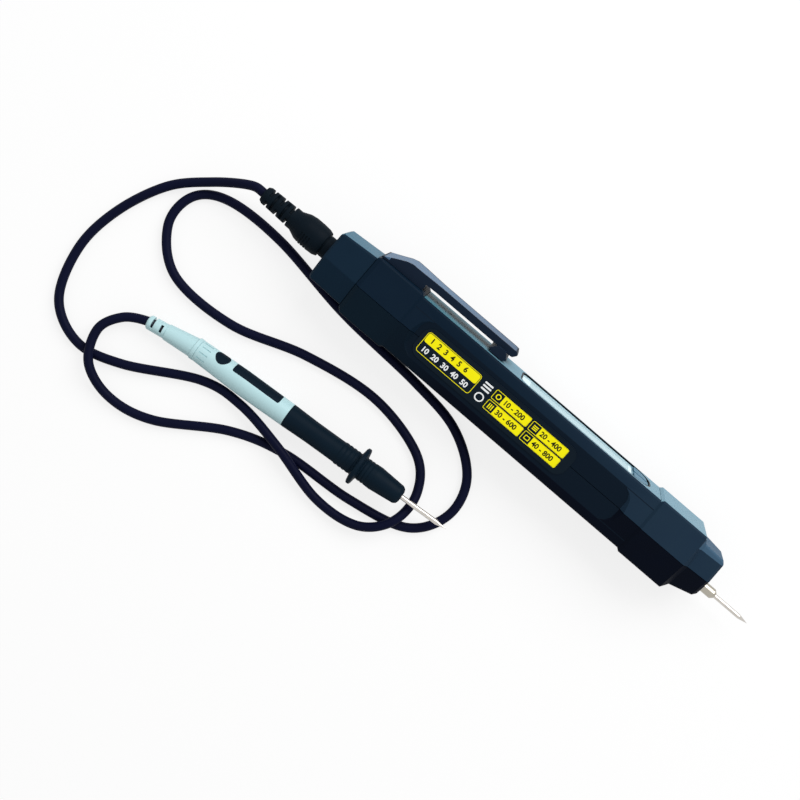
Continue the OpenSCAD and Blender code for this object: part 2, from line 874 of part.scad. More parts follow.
// Side profile of the diamond foot under the bar
function foot_profile() =
  let (
    low = face_depth + play,
    belly = low + (clip_low - low) * foot_belly_share,
    half = foot_length / 2
  ) [
  [foot_x + half * (1 - foot_sole_share), low], [foot_x + half * (1 + foot_sole_share), low],
  [foot_x + foot_length, belly], [foot_x + half * (1 + foot_neck_share), clip_low + eps],
  [foot_x + half * (1 - foot_neck_share), clip_low + eps], [foot_x, belly]];

// Plan of the clip, wide at its root
function clip_plan(margin) =
  let (
    root = clip_root_half - margin,
    bar = clip_half - margin,
    tip = clip_end - margin
  )
  rounded([[clip_x - eps, margin - clip_flare], [clip_x + flare_length, -root],
    [wedge_end - flare_length, -root], [wedge_end + flare_length, -bar],
    [tip, -bar], [tip, bar], [wedge_end + flare_length, bar], [wedge_end - flare_length, root],
    [clip_x + flare_length, root], [clip_x - eps, clip_flare - margin]],
    [seam, clip_half, clip_half, clip_half, clip_end_round - margin, clip_end_round - margin,
    clip_half, clip_half, clip_half, seam]);

module pocket_clip() {
  color("#0c1218") lay_pen() {
    difference() {
      intersection() {
        side_prism(clip_flare, clip_profile());
        face_prism(0, far) polygon(clip_plan(0));
      }
      clip_pocket(0);
    }
    side_prism(foot_half, foot_profile());
    block([pivot_x - pivot_r / 2, pivot_y, -clip_half],
      [pivot_x + pivot_r / 2, collar_face + play, clip_half]);
    translate([pivot_x, pivot_y, 0]) cylinder(h = 2 * clip_half, r = pivot_r, center = true);
  }
}

// The layer on top of the clip that holds the grey inlay, lowered by gap
module clip_pocket(gap) {
  intersection() {
    difference() {
      side_prism(far, clip_profile());
      translate([0, -inlay_depth + gap, 0]) side_prism(far, clip_profile());
      block([-far, -far, -far], [far, collar_face + 3 * play, far]);
      block([clip_end - clip_end_round / 2, -far, -far], [far, far, far]);
    }
    face_prism(0, far) polygon(clip_plan(inlay_margin));
  }
  intersection() {
    side_prism(far, clip_profile());
    face_prism(0, far) polygon(clip_plan(0));
    block([-far, collar_face + heel_rise + gap, -far], [clip_x + heel_length - gap, far, far]);
  }
}

module clip_inlay() {
  color("#789aa5") lay_pen() clip_pocket(seat / 2);
}

module battery_door() {
  low = -back_depth;
  color("#0d1620") lay_pen() difference() {
    union() {
      block([door_x, low, -door_half], [door_end, low + door_plate, door_half]);
      block([door_x + door_ledge + play, low, -door_half + door_ledge + play],
        [door_end - door_ledge - play, low + door_thickness, door_half - door_ledge - play]);
      for (side = [-1, 1])
        block([door_x - hook_length, low + door_plate, side * hook_side - hook_half],
          [door_x + 2 * door_ledge, low + door_thickness, side * hook_side + hook_half]);
    }
    for (i = [1:grip_count])
      block([door_end - door_ledge - i * grip_pitch - grip_width, low - eps, -door_half / 2],
        [door_end - door_ledge - i * grip_pitch, low + grip_depth, door_half / 2]);
  }
}

module battery_cells() {
  color("#b8862c") lay_pen() translate([0, cell_y, 0]) for (i = [0, 1])
    translate([cells_x + i * (cell_length + cell_gap), 0, 0]) {
      rod(0, cell_length - cell_button, cell_r);
      rod(0, cell_length, cell_button_r);
    }
}

module battery_contacts() {
  leaf = cells_x - bay_start - rib_thickness;
  color("#c9ccce") lay_pen() translate([0, cell_y, 0]) {
    side_prism(contact_half / 2, [
      [bay_start + rib_thickness + seat, -contact_half], [cells_x - leaf / 4, 0],
      [bay_start + rib_thickness + seat, contact_half],
      [bay_start + rib_thickness + seat + contact_thickness, contact_half],
      [cells_x - seat, 0],
      [bay_start + rib_thickness + seat + contact_thickness, -contact_half]]);
    block([cells_end + seat, -contact_half, -contact_half],
      [cells_end + seat + contact_thickness, contact_half, contact_half]);
  }
}

module housing_screws() {
  top = -back_depth + screw_sink;
  color("#8a8f94") lay_pen() at_screws() difference() {
    union() {
      post(top - screw_head, top - seat / 2, screw_head_r);
      post(top - screw_head, top + screw_length, screw_r);
    }
    for (turn = [0, 90])
      rotate([0, turn, 0]) block([-screw_head_r / 2, -far, -seam], [screw_head_r / 2,
        top - screw_head / 2, seam]);
  }
}

module needle_ferrule() {
  r = ferrule_d / 2;
  color("#c9b98c") lay_pen() translate([0, -needle_drop, 0]) difference() {
    revolve([[x_cone - 2 * flange_thickness, 0], [x_cone - 2 * flange_thickness, r + ferrule_flange],
      [x_cone - flange_thickness, r + ferrule_flange],
      [x_cone - flange_thickness, r], [x_end + ferrule_length - r / 2, r],
      [x_end + ferrule_length, r * 0.6], [x_end + ferrule_length, 0]]);
    rod(x_cone, far, needle_d / 2 + root_step + seat / 2);
  }
}

module pen_needle() {
  tip = x_end + ferrule_length + needle_length;
  color("#b9bcc0") lay_pen() translate([0, -needle_drop, 0]) revolve([
    [x_cone + seat, 0], [x_cone + seat, needle_d / 2 + root_step],
    [x_end + ferrule_length, needle_d / 2 + root_step], [x_end + ferrule_length, needle_d / 2],
    [tip - needle_point, needle_d / 2], [tip, 0]]);
}

module lead_socket() {
  color("#c8a24a") lay_plug() difference() {
    rod(socket_front, well_depth + well_floor + socket_tail, socket_r);
    rod(-eps, well_depth, pin_r + pin_play);
  }
}

module lead_plug() {
  rear = -collar_gap - plug_length;
  color("#0e161e") lay_plug() difference() {
    revolve([
      [shroud_depth, shroud_r - shroud_wall], [shroud_depth, shroud_r], [-collar_gap + ridge_width, shroud_r],
      [-collar_gap + ridge_width, shroud_r - ridge_depth], [-collar_gap, shroud_r - ridge_depth],
      [-collar_gap, plug_r * 0.88], [-collar_gap - plug_length * 0.1, plug_r * 0.97],
      [-collar_gap - plug_length * 0.28, plug_r], [-collar_gap - plug_length * 0.5, plug_r],
      [-collar_gap - plug_length * 0.66, plug_r * 0.93], [-collar_gap - plug_length * 0.86, plug_neck_r],
      [rear, plug_neck_r], [rear, 0], [-collar_gap - pin_root, 0],
      [-collar_gap - pin_root, pin_r + seat / 2], [-collar_gap, pin_r + seat / 2],
      [-collar_gap, shroud_r - shroud_wall]]);
    for (i = [1:ridge_count], side = [0, 1])
      mirror([0, 0, side]) translate([-collar_gap - plug_length * 0.25 - i * ridge_pitch, 0, 0])
        intersection() {
          difference() {
            rod(0, ridge_width, 2 * plug_r);
            rod(-far, far, plug_r - ridge_depth);
          }
          block([-far, -far, 0], [far, -plug_r * 0.1, far]);
        }
  }
}

module plug_pin() {
  color("#c8a24a") lay_plug() revolve([
    [-collar_gap - pin_root + seat, 0], [-collar_gap - pin_root + seat, pin_r],
    [pin_front - pin_r / 2, pin_r], [pin_front, pin_r / 2], [pin_front, 0]]);
}

module plug_boot() {
  start = -collar_gap - plug_length;
  pitch = boot_length / (slot_count + 0.45);
  color("#0e161e") lay_plug() difference() {
    revolve([
      [start, 0], [start, boot_r * 1.05], [start - boot_length * 0.92, boot_r * 0.95],
      [start - boot_length, boot_r * 0.8], [start - boot_length, 0]]);
    for (i = [0:slot_count - 1]) difference() {
      rod(start - i * pitch - slot_width, start - i * pitch, 2 * boot_r);
      rod(-far, far, slot_core_r);
      rotate([(i + 1) % 2 * 90, 0, 0]) block([-far, -far, -slot_web / 2], [far, far, slot_web / 2]);
    }
  }
}

// Catmull-Rom point between b and c
function on_curve(a, b, c, d, t) =
  0.5 * (2 * b + (c - a) * t + (2 * a - 5 * b + 4 * c - d) * t ^ 2
    + (3 * b - 3 * c + d - a) * t ^ 3);

// Points along the whole lead, two to each stretch
function lead_points(route) = [
  for (i = [1:len(route) - 3]) for (t = [0, 0.5])
    on_curve(route[i - 1], route[i], route[i + 1], route[i + 2], t),
  route[len(route) - 2]];

// Ring of the tube at point p, square to direction d
function tube_ring(p, d) =
  let (side = unit(cross([0, 0, 1], d)), up = unit(cross(d, side)))
  [for (j = [0:lead_sides - 1])
    let (angle = 360 * j / lead_sides) p + lead_r * (cos(angle) * side + sin(angle) * up)];

module lead_cable() {
  plug_out = [-1, 0, 0];
  probe_in = probe_turned([cos(tail_bend), sin(tail_bend), 0]);
  start = [pen_x - collar_gap - plug_length - boot_length,
    pen_y + socket_rise * cos(flat_angle), rest_height + socket_rise * sin(flat_angle)];
  finish = [probe_x, probe_y, probe_height] + probe_turned([x_ring, 0, 0]) - x_ring * probe_in;
  reach = 2 * lead_d;
  route = concat([start - reach * plug_out, start], lead_route, [finish, finish + reach * probe_in]);
  points = lead_points(route);
  n = len(points);
  color("#14182a") loft([for (i = [0:n - 1])
    let (d = i == 0 ? plug_out : i == n - 1 ? probe_in : points[i + 1] - points[i - 1])
    tube_ring(points[i], unit(d))]);
}

module probe_boot() {
  r = probe_boot_d / 2;
  color("#a8cccd") lay_tail() difference() {
    revolve([[0, 0], [0, r * 0.77], [x_tail * 0.08, r * 0.97], [x_tail, r], [x_tail, 0]]);
    for (i = [0, 1]) difference() {
      rod(x_tail * (0.24 + 0.46 * i), x_tail * (0.24 + 0.46 * i) + slot_width, 2 * r);
      rod(-far, far, lead_r);
      block([-far, -far, -far], [far, -r * 0.5, far]);
      block([-far, r * (0.5 + (1 - i)), -far], [far, far, far]);
    }
  }
}

module probe_tail() {
  groove = x_handle - ring_length;
  color("#a8cccd") {
    lay_tail() revolve([
      [x_tail + seat, 0], [x_tail + seat, probe_boot_d * 0.55],
      [groove - tail_groove, ring_r * 0.9], [x_ring, ring_r * 0.9], [x_ring, 0]]);
    lay_probe() revolve([
      [groove, 0], [groove, ring_r - ring_bevel], [groove + ring_bevel, ring_r],
      [x_handle - ring_bevel, ring_r], [x_handle, ring_r - ring_bevel], [x_handle, 0]]);
  }
}

// Outer profile of the grey handle
function handle_profile() = [
  [x_handle + seat, 0], [x_handle + seat, ring_r - seat], [x_handle + rib_section, ring_r + seat / 2],
  [x_handle + probe_handle_length * 0.5, handle_r], [x_front - seat, grip_r],
  [x_front - seat, 0]];

// The inlays' common turn round the handle
module at_inlays() {
  rotate([-inlay_turn, 0, 0]) children();
}

// The handle's skin of one inlay's thickness
module handle_layer(gap) {
  difference() {
    revolve(handle_profile());
    rod(-far, far, ring_r + seat - inlay_thickness + gap);
  }
}

module dot_shape(g) {
  translate([dot_x, 0, 0]) cylinder(h = far, r = dot_r + g);
}

module bar_shape(g) {
  linear_extrude(far) polygon(rounded(box_outline(bar_x - g, -bar_half - g,
    bar_x + bar_length + g, bar_half + g), [bar_corner, bar_corner, bar_corner, bar_corner]));
}

module probe_handle() {
  color("#a8cccd") lay_probe() difference() {
    revolve(handle_profile());
    rod(x_handle + rib_section, far, core_r + core_play);
    at_inlays() intersection() {
      handle_layer(0);
      union() {
        dot_shape(seat / 2);
        bar_shape(seat / 2);
      }
    }
    for (turn = [0:30:330])
      rotate([turn, 0, 0]) block([x_handle + rib_margin, -rib_half, ring_r - rib_depth],
        [x_handle + rib_section - rib_margin / 2, rib_half, 2 * handle_r]);
  }
}

module probe_dot() {
  color("#14181f") lay_probe() at_inlays() intersection() {
    handle_layer(seat / 2);
    dot_shape(0);
  }
}

module probe_bar() {
  color("#14181f") lay_probe() at_inlays() intersection() {
    handle_layer(seat / 2);
    bar_shape(0);
  }
}

module probe_front() {
  ribs_x = x_guard - 4 * grip_rib_pitch;
  front_x = x_guard + guard_thickness + grip_rib_edge;
  color("#10151c") lay_probe() difference() {
    revolve(concat(
      [[x_front, 0], [x_front, grip_r], [x_front + guard_distance * 0.35, grip_waist_r],
        [ribs_x - grip_rib_edge, grip_waist_r]],
      [for (i = [0:3]) each [[ribs_x + i * grip_rib_pitch, grip_rib_r],
        [ribs_x + i * grip_rib_pitch + grip_rib_width, grip_rib_r],
        [ribs_x + (i + 1) * grip_rib_pitch - grip_rib_edge, grip_waist_r]]],
      [[x_guard, grip_rib_r], [x_guard + guard_bevel / 2, guard_r - guard_bevel],
        [x_guard + guard_bevel, guard_r], [x_guard + guard_thickness - guard_bevel, guard_r],
        [x_guard + guard_thickness - guard_bevel / 2, guard_r - guard_bevel],
        [x_guard + guard_thickness, grip_rib_r]],
      [for (i = [0:2]) each [[front_x + i * grip_front_pitch, grip_waist_r],
        [front_x + i * grip_front_pitch + grip_rib_edge, grip_rib_r],
        [front_x + (i + 1) * grip_front_pitch - grip_rib_edge, grip_rib_r]]],
      [[front_x + 4 * grip_front_pitch, grip_rib_r * 1.02],
        [x_tip - grip_end_r * 0.4, grip_end_r], [x_tip - grip_end_r * 0.12, grip_end_r * 0.82],
        [x_tip, grip_end_r / 2], [x_tip, 0]]));
    rod(x_front - eps, x_guard, core_r + core_play);
    rod(x_front, far, probe_needle_r + root_step + seat / 2);
  }
}

module probe_needle() {
  tip = x_tip + probe_needle_length;
  color("#c3c6c4") lay_probe() revolve([
    [x_handle + rib_section + 2 * seat, 0], [x_handle + rib_section + 2 * seat, core_r],
    [x_guard - 2 * seat, core_r], [x_guard - 2 * seat, probe_needle_r + root_step],
    [x_tip, probe_needle_r + root_step], [x_tip, probe_needle_r],
    [tip - probe_point, probe_needle_r], [tip, 0]]);
}

front_housing();
back_housing();
rear_cap();
rear_cap_trim();
face_trim();
nose_trim();
display_bezel();
display_window();
lcd_module();
circuit_board();
function_key();
hold_key();
key_switches();
buzzer();
torch_lamp();
side_label();
pocket_clip();
clip_inlay();
battery_door();
battery_cells();
battery_contacts();
housing_screws();
needle_ferrule();
pen_needle();
lead_socket();
lead_plug();
plug_pin();
plug_boot();
lead_cable();
probe_boot();
probe_tail();
probe_handle();
probe_dot();
probe_bar();
probe_front();
probe_needle();
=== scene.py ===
import math

import bmesh
import bpy
import numpy as np
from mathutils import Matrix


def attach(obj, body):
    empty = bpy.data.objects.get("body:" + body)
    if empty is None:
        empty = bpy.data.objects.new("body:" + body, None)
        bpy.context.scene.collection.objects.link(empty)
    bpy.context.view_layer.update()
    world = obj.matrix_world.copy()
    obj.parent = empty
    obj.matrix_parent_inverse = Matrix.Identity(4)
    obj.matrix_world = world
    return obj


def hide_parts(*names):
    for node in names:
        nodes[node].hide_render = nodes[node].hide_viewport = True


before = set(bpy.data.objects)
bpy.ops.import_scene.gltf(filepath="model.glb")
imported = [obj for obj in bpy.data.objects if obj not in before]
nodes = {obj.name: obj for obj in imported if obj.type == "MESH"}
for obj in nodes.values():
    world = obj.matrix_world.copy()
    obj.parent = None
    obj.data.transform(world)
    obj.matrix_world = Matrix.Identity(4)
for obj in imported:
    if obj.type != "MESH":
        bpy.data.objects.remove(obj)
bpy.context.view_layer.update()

scene = bpy.context.scene
scene.view_settings.view_transform = "Standard"


# Camera. The photograph was taken from half a metre straight above the table, and turned so
# that the pen runs down to the right. The view is 308 mm wide at the height of the table.
view_height = 0.5
view_width = 0.3078
view_turn = math.radians(40.6)
view_x, view_y = -0.0300, -0.0004
sensor_width = 36.0
camera_data = bpy.data.cameras.new("camera")
camera_data.sensor_width = sensor_width
camera_data.lens = sensor_width * view_height / view_width
camera = bpy.data.objects.new("camera", camera_data)
camera.location = (view_x, view_y, view_height)
camera.rotation_euler = (0.0, 0.0, view_turn)
scene.collection.objects.link(camera)
scene.camera = camera


# Test lead. A stranded copper wire in a soft black jacket of 3.7 mm, 0.82 m long as the
# photograph shows it. It leaves the probe, lies in loose loops on the table, crosses over
# itself in long low humps, and rises into the slotted boot of its plug. The pen lies turned
# about its length, and the probe rests on its tail's ring and its finger guard.
lead_diameter = 0.0037
pen_turn = math.radians(14)
pen_x, pen_y = -0.0857, 0.0243
ridge_half, band_raise = 0.0131, 0.0008
pen_height = ridge_half * math.cos(pen_turn) + band_raise
probe_x, probe_y = -0.1228, -0.0379
probe_yaw = math.radians(4.9)
tail_bend = math.radians(6)
guard_radius, ring_radius = 0.0079, 0.00455
ring_place, guard_place = 0.02145, 0.0977
probe_pitch = math.asin((guard_radius - ring_radius) / (guard_place - ring_place))
table_gap = 0.00005
probe_start = np.array([probe_x, probe_y, ring_radius * math.cos(probe_pitch)
                        - ring_place * math.sin(probe_pitch) + table_gap])
satin = {"IOR": 1.5, "Specular IOR Level": 0.04}


def linear(hex_colour):
    """An sRGB hex colour as linear red, green, blue and 1."""
    values = [int(hex_colour[i:i + 2], 16) / 255 for i in (0, 2, 4)]
    return [v / 12.92 if v <= 0.04045 else ((v + 0.055) / 1.055) ** 2.4 for v in values] + [1.0]


def add(tree, kind, settings=None, inputs=None):
    """Adds a node. settings are its properties, inputs its socket values or links."""
    node = tree.nodes.new(kind)
    for name, value in (settings or {}).items():
        setattr(node, name, value)
    for name, value in (inputs or {}).items():
        if isinstance(value, bpy.types.NodeSocket):
            tree.links.new(value, node.inputs[name])
        else:
            node.inputs[name].default_value = value
    return node


def start_material(name, surface):
    """A new material with a Principled shader of the constants in surface. Gives the material,
    its tree, the shader and the Object coordinates."""
    material = bpy.data.materials.new(name)
    material.use_nodes = True
    tree = material.node_tree
    tree.nodes.clear()
    shader = add(tree, "ShaderNodeBsdfPrincipled", None, surface)
    output = add(tree, "ShaderNodeOutputMaterial")
    tree.links.new(shader.outputs["BSDF"], output.inputs["Surface"])
    return material, tree, shader, add(tree, "ShaderNodeTexCoord").outputs["Object"]


def blended(tree, factor, low, high):
    """The colour between low and high, each a colour socket or a hex colour."""
    mix = add(tree, "ShaderNodeMix", {"data_type": "RGBA"})
    for name, value in (("Factor", factor), ("A", low), ("B", high)):
        socket = next(s for s in mix.inputs if s.name == name and s.enabled)
        if isinstance(value, str):
            socket.default_value = linear(value)
        else:
            tree.links.new(value, socket)
    return next(s for s in mix.outputs if s.enabled)


def ramp(tree, value, low, high):
    """0 below low and 1 above high, straight between them."""
    return add(tree, "ShaderNodeMapRange", None,
               {"Value": value, "From Min": low, "From Max": high}).outputs["Result"]


def moulded(name, surface, tones, patch, rough, grain, depth, painted_light_run=None, marks_and_painted_light=None):
    """A moulded surface. Its colour varies between two tones over patches of the given size,
    with the roughness, and its fine grain is a bump. The run along X, if given, holds two
    places along X and the two tones at the far one; it is a painted fall of light and shade.
    The last step, if given, changes the colour last, with prints, marks and painted light.
    Sizes are in metres."""
    material, tree, shader, place = start_material(name, surface)
    patches = add(tree, "ShaderNodeTexNoise", None,
                  {"Vector": place, "Scale": 1 / patch, "Detail": 4.0, "Roughness": 0.6})
    colour = blended(tree, patches.outputs["Fac"], *tones)
    # Painted light and shade: the colour runs to the far tones along X.
    if painted_light_run:
        along = add(tree, "ShaderNodeSeparateXYZ", None, {"Vector": place}).outputs["X"]
        far = blended(tree, patches.outputs["Fac"], *painted_light_run[2:])
        colour = blended(tree, ramp(tree, along, painted_light_run[0], painted_light_run[1]), colour, far)
    # The last step adds prints and marks, and painted light on the housing's tip.
    if marks_and_painted_light:
        colour = marks_and_painted_light(tree, place, colour)
    tree.links.new(colour, shader.inputs["Base Color"])
    spread = add(tree, "ShaderNodeMapRange", None,
                 {"Value": patches.outputs["Fac"], "From Min": 0.3, "From Max": 0.7,
                  "To Min": rough[0], "To Max": rough[1]})
    tree.links.new(spread.outputs["Result"], shader.inputs["Roughness"])
    fine = add(tree, "ShaderNodeTexNoise", None,
               {"Vector": place, "Scale": 1 / grain, "Detail": 3.0, "Roughness": 0.55})
    bump = add(tree, "ShaderNodeBump", None,
               {"Height": fine.outputs["Fac"], "Distance": depth, "Strength": 0.5})
    tree.links.new(bump.outputs["Normal"], shader.inputs["Normal"])
    return material


def dress(piece, material, body=None):
    """Gives a piece one material, adding a material slot if it has none, and hangs it on the
    named body when one is given.
    """
    if len(piece.material_slots) == 0:
        piece.data.materials.append(material)
    for held in piece.material_slots:
        held.material = material
    if body:
        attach(piece, body)


def mesh_piece(name, vertices, faces, smooth=True):
    """A mesh object at the origin from arrays of corners and faces."""
    mesh = bpy.data.meshes.new(name)
    mesh.from_pydata(np.asarray(vertices).tolist(), [], [list(map(int, f)) for f in faces])
    mesh.validate()
    mesh.polygons.foreach_set("use_smooth", np.full(len(mesh.polygons), smooth))
    piece = bpy.data.objects.new(name, mesh)
    scene.collection.objects.link(piece)
    return piece


# Rounded edges. Corners nearer than merge_gap become one, faces within flat_limit of each other
# become one flat, and edges sharper than edge_limit are rounded.
merge_gap = 2e-6
flat_limit, edge_limit = math.radians(0.6), math.radians(25)
flat_weight = 80


def eased(node, width):
    """A copy of a CAD node with merged corners, flat areas joined and narrow rounded edges."""
    mesh = nodes[node].data.copy()
    work = bmesh.new()
    work.from_mesh(mesh)
    bmesh.ops.remove_doubles(work, verts=work.verts, dist=merge_gap)
    bmesh.ops.dissolve_limit(work, angle_limit=flat_limit, verts=work.verts, edges=work.edges)
    work.to_mesh(mesh)
    work.free()
    mesh.polygons.foreach_set("use_smooth", np.ones(len(mesh.polygons), dtype=bool))
    piece = bpy.data.objects.new(node + "_eased", mesh)
    scene.collection.objects.link(piece)
    bevel = piece.modifiers.new("rounded edges", "BEVEL")
    bevel.width = width
    bevel.segments = 2
    bevel.limit_method = "ANGLE"
    bevel.angle_limit = edge_limit
    bevel.use_clamp_overlap = True
    flats = piece.modifiers.new("level flats", "WEIGHTED_NORMAL")
    flats.mode = "FACE_AREA"
    flats.weight = flat_weight
    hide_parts(node)
    return piece


def turned(x, y, z):
    """A direction of the probe's own frame in the object's frame."""
    level = x * math.cos(probe_pitch) - z * math.sin(probe_pitch)
    return np.array([level * math.cos(probe_yaw) - y * math.sin(probe_yaw),
                     level * math.sin(probe_yaw) + y * math.cos(probe_yaw),
                     x * math.sin(probe_pitch) + z * math.cos(probe_pitch)])


def through(points, steps):
    """Catmull-Rom curve: each stretch between two inner points is cut into equal steps."""
    a, b, c, d = points[:-3, None], points[1:-2, None], points[2:-1, None], points[3:, None]
    t = (np.arange(steps) / steps)[None, :, None]
    curve = 0.5 * (2 * b + (c - a) * t + (2 * a - 5 * b + 4 * c - d) * t ** 2
                   + (3 * b - 3 * c + d - a) * t ** 3)
    return np.vstack([curve.reshape(-1, 3), points[-2]])


def tube(name, path, radius, sides):
    """A round tube: at each point of the path, a circle square to the path. Ends are closed."""
    way = np.gradient(path, axis=0)
    way /= np.linalg.norm(way, axis=1, keepdims=True)
    side = np.cross([0.0, 0.0, 1.0], way)
    side /= np.linalg.norm(side, axis=1, keepdims=True)
    up = np.cross(way, side)
    angle = np.linspace(0, 2 * math.pi, sides, endpoint=False)[None, :, None]
    rings = path[:, None] + radius * (np.cos(angle) * side[:, None] + np.sin(angle) * up[:, None])
    n = len(path)
    i, j = np.meshgrid(np.arange(n - 1), np.arange(sides), indexing="ij")
    k = (j + 1) % sides
    quads = np.stack([i * sides + j, i * sides + k, (i + 1) * sides + k, (i + 1) * sides + j], -1)
    ends = [list(range(sides - 1, -1, -1)), list(range((n - 1) * sides, n * sides))]
    return mesh_piece(name, rings.reshape(-1, 3), quads.reshape(-1, 4).tolist() + ends)


plug_start, plug_length, boot_length = 0.0036, 0.0161, 0.0132
socket_rise = 0.001
boot_end = np.array([pen_x - plug_start - plug_length - boot_length,
                     pen_y + socket_rise * math.cos(pen_turn),
                     pen_height + socket_rise * math.sin(pen_turn)])
tail_way = turned(math.cos(tail_bend), math.sin(tail_bend), 0.0)
tail_end = probe_start + turned(ring_place, 0.0, 0.0) - ring_place * tail_way

# The lead's middle line from the plug's boot to the probe's, in millimetres. Its way over the
# table follows the photograph, and its heights let it clear itself where it crosses.
millimetre = 0.001
route = millimetre * np.array([
    [-125, 24.2, 13], [-138, 16, 6.6], [-151, 3.5, 2.6], [-159.5, -16, 2], [-161.5, -36, 2],
    [-154.5, -56, 2], [-138.5, -64, 2], [-120, -59.3, 2], [-93, -44.3, 2.4], [-75, -41.4, 3.9],
    [-54, -44.2, 6.2], [-30, -50, 3.4], [-11.5, -47.5, 4.6], [-2, -37, 6], [-2, -23, 2.6],
    [-12.5, -11.7, 2], [-38, -6.3, 2], [-68.5, -11, 2], [-98, -20.6, 2],
    [-126, -20.5, 2], [-141, -7.5, 2], [-141, 7, 2], [-129, 15, 2], [-104, 16, 2],
    [-68, 10.7, 2], [-30, 8.5, 2], [-7, 4.7, 2], [9, -6.5, 2], [12.8, -22, 2],
    [3.5, -36, 2], [-20.5, -42.1, 2], [-50, -44.8, 2], [-72, -52, 2], [-97, -67.9, 2],
    [-115, -72, 2.5], [-129, -67, 5.4], [-135, -55, 5.2], [-131, -45.4, 4]])
reach = 2 * lead_diameter
steps_per_stretch, lead_sides = 16, 20
lead_path = through(np.vstack([boot_end + [reach, 0, 0], boot_end, route, tail_end,
                               tail_end + reach * tail_way]), steps_per_stretch)[::-1]
lead = tube("lead_jacket", lead_path, lead_diameter / 2, lead_sides)

# Soft vinyl, black with a little blue. It has no clear highlight, so it looks limp and rubbery.
lead_blacks = ("080b20", "0d112a")
dress(lead, moulded("soft_jacket_black", satin, lead_blacks, patch=0.02, rough=(0.4, 0.55),
                    grain=0.0009, depth=0.00003), "test_lead")
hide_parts("lead_cable")

# Firmer moulded vinyl: a rougher and finer grain, so the grip looks dull beside the lead.
plug_vinyl = moulded("moulded_vinyl_black", satin, ("070f16", "0b161f"), patch=0.006,
                     rough=(0.45, 0.6), grain=0.0004, depth=0.00002)
plug_body = eased("lead_plug", 0.0002)
plug_boot = eased("plug_boot", 0.00025)
for piece in (plug_body, plug_boot):
    dress(piece, plug_vinyl, "test_lead")


# Housing halves. Two ABS mouldings that meet along the middle of the pen's sides, with a raised
# collar and nose block, a pocket for the label and a tapered tip.
pocket_level, pocket_half = 0.0111, 0.0081
level_tolerance = 0.00006
tip_start, tip_face = 0.1738, 0.0079
# Painted light: the tip's face side gets a lighter tone.
painted_tip_light, pocket_tone = "3a546a", "0a1622"


def in_pen(tree, place):
    """Object coordinates turned into the pen's frame: along it, to its face, to its label."""
    moved = add(tree, "ShaderNodeVectorMath", {"operation": "SUBTRACT"},
                {0: place, 1: (pen_x, pen_y, pen_height)})
    level = add(tree, "ShaderNodeVectorRotate", {"rotation_type": "X_AXIS"},
                {"Vector": moved.outputs["Vector"], "Angle": -pen_turn})
    return add(tree, "ShaderNodeSeparateXYZ", None, {"Vector": level.outputs["Vector"]}).outputs


def shell_zones(tree, place, colour):
    """A lighter tone on the face side of the tapered tip, which is painted light, and a deeper
    one on the pocket's floor.
    """
    pen = in_pen(tree, place)
    ahead = add(tree, "ShaderNodeMath", {"operation": "GREATER_THAN"},
                {0: pen["X"], 1: tip_start}).outputs[0]
    above = add(tree, "ShaderNodeMath", {"operation": "GREATER_THAN"},
                {0: pen["Y"], 1: tip_face}).outputs[0]
    tip = add(tree, "ShaderNodeMath", {"operation": "MULTIPLY"}, {0: ahead, 1: above})
    # Painted light on the face side of the tip.
    colour = blended(tree, tip.outputs[0], colour, painted_tip_light)
    level = add(tree, "ShaderNodeMath", {"operation": "COMPARE"},
                {0: pen["Z"], 1: pocket_level, 2: level_tolerance}).outputs[0]
    across = add(tree, "ShaderNodeMath", {"operation": "COMPARE"},
                 {0: pen["Y"], 1: 0.0, 2: pocket_half}).outputs[0]
    floor = add(tree, "ShaderNodeMath", {"operation": "MULTIPLY"}, {0: level, 1: across})
    return blended(tree, floor.outputs[0], colour, pocket_tone)


# Satin ABS, nearly black. Soft patches of tone and a fine grain keep the broad flats from
# looking like one flat fill. The slow run along the pen is painted light and shade: the front
# half is painted lighter towards the nose, and the back half, turned from the lamp, is painted
# darker towards it as shade.
front_plastic = moulded("moulded_abs_front_painted_light", satin, ("081827", "0b1c2b"), patch=0.012,
                        rough=(0.42, 0.56), grain=0.00035, depth=0.000012,
                        painted_light_run=(-0.02, 0.08, "18293b", "1c2e3d"), marks_and_painted_light=shell_zones)
back_plastic = moulded("moulded_abs_back_painted_shade", satin, ("091925", "0c1c28"), patch=0.012,
                       rough=(0.42, 0.56), grain=0.00035, depth=0.000012,
                       painted_light_run=(-0.055, -0.02, "020611", "040a18"), marks_and_painted_light=shell_zones)
for node, plastic in (("front_housing", front_plastic), ("back_housing", back_plastic)):
    dress(eased(node, 0.00025), plastic, "pen")


# Rear cap. One ABS moulding with the deep well for the lead's shrouded plug.
# The halves' satin ABS in a slightly lighter tone, so the cap reads as a piece of its own.
cap_plastic = moulded("moulded_abs_cap", satin, ("0d1f2e", "112434"), patch=0.012,
                      rough=(0.42, 0.56), grain=0.00035, depth=0.000012)
dress(eased("rear_cap", 0.0004), cap_plastic, "pen")


# Face trims. Grey ABS strips let into the cap, the barrel and the nose block. The long one
# frames the display and carries three sound holes.
# A smoother, glossier grey than the shell. It is painted paler towards the nose, a painted
# fall of light that leaves it darker at the rear under the clip, and the cap's strip is a darker
# copy of the grey as painted shade. Its weak sheen sets the strips off from the matt halves.
sheen = {"IOR": 1.5, "Specular IOR Level": 0.1}
trim_plastic = moulded("moulded_abs_grey", sheen, ("2f6877", "367282"), patch=0.03,
                       rough=(0.4, 0.5), grain=0.0006, depth=0.000005,
                       painted_light_run=(-0.052, 0.004, "648898", "6e92a3"))
